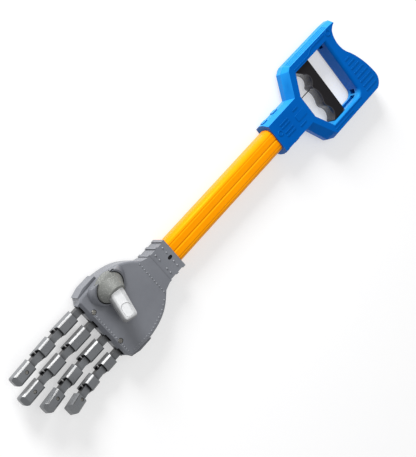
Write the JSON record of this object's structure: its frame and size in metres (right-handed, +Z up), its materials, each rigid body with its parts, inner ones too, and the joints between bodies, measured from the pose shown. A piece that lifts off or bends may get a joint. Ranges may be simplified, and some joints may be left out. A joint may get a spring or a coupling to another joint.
{
  "type": "toy robot arm grabber",
  "caption": "Hand-held toy robot arm: ring handle with a finger trigger, fluted tube and a jointed right hand whose fingers curl as a steel wire is pulled.",
  "frame": {"origin": "middle of the footprint on the surface the arm lies on", "axes": "+X forward from the handle to the fingertips, +Y towards the little finger, +Z up out of the palm"},
  "size_m": [0.4804, 0.0894, 0.045],
  "materials": {
    "blue_plastic": "semi-gloss moulded",
    "orange_tube": "gloss extruded",
    "palm_grey": "satin moulded",
    "finger_grey": "satin moulded",
    "rivet_grey": "satin moulded",
    "thumb_rough": "coarse sparkle texture",
    "thumb_silver": "vacuum plated",
    "trigger_black": "fine matte",
    "trigger_gloss": "gloss",
    "steel": "plain drawn",
    "screw_steel": "plated"
  },
  "bodies": {
    "arm": {"tube": "orange_tube", "handle_front_shell": "blue_plastic", "handle_back_shell": "blue_plastic", "handle_screws": "screw_steel", "wire_guide": "steel", "palm_front_shell": "palm_grey", "palm_back_shell": "palm_grey", "palm_screws": "screw_steel", "palm_rivets": "rivet_grey", "collar_rivets": "rivet_grey", "wrist_plug": "trigger_black", "knuckle_rod": "steel"},
    "trigger": {"trigger_body": "trigger_black", "trigger_face": "trigger_gloss", "trigger_runners": "trigger_black", "pull_wire": "steel", "wire_crimps": "steel", "cord_yoke": "trigger_black"},
    "thumb": {"thumb_base": "thumb_rough", "thumb_tip": "thumb_silver", "thumb_screw": "screw_steel"},
    "index_proximal_link": {"index_proximal": "finger_grey", "index_near_pin": "steel"},
    "index_middle_link": {"index_middle": "finger_grey", "index_far_pin": "steel"},
    "index_tip_link": {"index_tip": "finger_grey", "index_tip_screw": "screw_steel"},
    "middle_proximal_link": {"middle_proximal": "finger_grey", "middle_near_pin": "steel"},
    "middle_middle_link": {"middle_middle": "finger_grey", "middle_far_pin": "steel"},
    "middle_tip_link": {"middle_tip": "finger_grey", "middle_tip_screw": "screw_steel"},
    "ring_proximal_link": {"ring_proximal": "finger_grey", "ring_near_pin": "steel"},
    "ring_middle_link": {"ring_middle": "finger_grey", "ring_far_pin": "steel"},
    "ring_tip_link": {"ring_tip": "finger_grey", "ring_tip_screw": "screw_steel"},
    "little_proximal_link": {"little_proximal": "finger_grey", "little_near_pin": "steel"},
    "little_middle_link": {"little_middle": "finger_grey", "little_far_pin": "steel"},
    "little_tip_link": {"little_tip": "finger_grey", "little_tip_screw": "screw_steel"}
  },
  "joints": [
    {"name": "trigger_slide", "type": "slide", "parent": "arm", "child": "trigger", "axis": [-1, 0, 0], "range_m": [0, 0.016], "stiffness_N_per_m": 120},
    {"name": "thumb_swivel", "type": "hinge", "parent": "arm", "child": "thumb", "pos_m": [0.12, -0.0238, 0.0285], "axis": [0, 0.4226, 0.9063], "range_deg": [-25, 30]},
    {"name": "index_knuckle", "type": "hinge", "parent": "arm", "child": "index_proximal_link", "pos_m": [0.1473, -0.0255, 0.011], "axis": [0, -1, 0], "range_deg": [0, 46]},
    {"name": "index_middle_joint", "type": "hinge", "parent": "index_proximal_link", "child": "index_middle_link", "pos_m": [0.1768, -0.0255, 0.011], "axis": [0, -1, 0], "range_deg": [0, 64]},
    {"name": "index_tip_joint", "type": "hinge", "parent": "index_middle_link", "child": "index_tip_link", "pos_m": [0.20255, -0.0255, 0.01462], "axis": [0, -1, 0], "range_deg": [0, 50]},
    {"name": "middle_knuckle", "type": "hinge", "parent": "arm", "child": "middle_proximal_link", "pos_m": [0.1473, -0.0082, 0.011], "axis": [0, -1, 0], "range_deg": [0, 46]},
    {"name": "middle_middle_joint", "type": "hinge", "parent": "middle_proximal_link", "child": "middle_middle_link", "pos_m": [0.1796, -0.0082, 0.011], "axis": [0, -1, 0], "range_deg": [0, 64]},
    {"name": "middle_tip_joint", "type": "hinge", "parent": "middle_middle_link", "child": "middle_tip_link", "pos_m": [0.20781, -0.0082, 0.01327], "axis": [0, -1, 0], "range_deg": [0, 50]},
    {"name": "ring_knuckle", "type": "hinge", "parent": "arm", "child": "ring_proximal_link", "pos_m": [0.1473, 0.009, 0.011], "axis": [0, -1, 0], "range_deg": [0, 46]},
    {"name": "ring_middle_joint", "type": "hinge", "parent": "ring_proximal_link", "child": "ring_middle_link", "pos_m": [0.1765, 0.009, 0.011], "axis": [0, -1, 0], "range_deg": [0, 62]},
    {"name": "ring_tip_joint", "type": "hinge", "parent": "ring_middle_link", "child": "ring_tip_link", "pos_m": [0.20251, 0.009, 0.01606], "axis": [0, -1, 0], "range_deg": [0, 50]},
    {"name": "little_knuckle", "type": "hinge", "parent": "arm", "child": "little_proximal_link", "pos_m": [0.1473, 0.0263, 0.011], "axis": [0, -1, 0], "range_deg": [0, 46]},
    {"name": "little_middle_joint", "type": "hinge", "parent": "little_proximal_link", "child": "little_middle_link", "pos_m": [0.1713, 0.0263, 0.011], "axis": [0, -1, 0], "range_deg": [0, 62]},
    {"name": "little_tip_joint", "type": "hinge", "parent": "little_middle_link", "child": "little_tip_link", "pos_m": [0.19382, 0.0263, 0.01457], "axis": [0, -1, 0], "range_deg": [0, 44]}
  ],
  "couplings": [
    {"joint": "index_knuckle", "follows": "trigger_slide", "rad_per_m": 50.124},
    {"joint": "index_middle_joint", "follows": "trigger_slide", "rad_per_m": 69.759},
    {"joint": "index_tip_joint", "follows": "trigger_slide", "rad_per_m": 54.487},
    {"joint": "middle_knuckle", "follows": "trigger_slide", "rad_per_m": 50.124},
    {"joint": "middle_middle_joint", "follows": "trigger_slide", "rad_per_m": 69.759},
    {"joint": "middle_tip_joint", "follows": "trigger_slide", "rad_per_m": 54.487},
    {"joint": "ring_knuckle", "follows": "trigger_slide", "rad_per_m": 50.124},
    {"joint": "ring_middle_joint", "follows": "trigger_slide", "rad_per_m": 67.577},
    {"joint": "ring_tip_joint", "follows": "trigger_slide", "rad_per_m": 54.487},
    {"joint": "little_knuckle", "follows": "trigger_slide", "rad_per_m": 50.124},
    {"joint": "little_middle_joint", "follows": "trigger_slide", "rad_per_m": 67.577},
    {"joint": "little_tip_joint", "follows": "trigger_slide", "rad_per_m": 47.942}
  ]
}
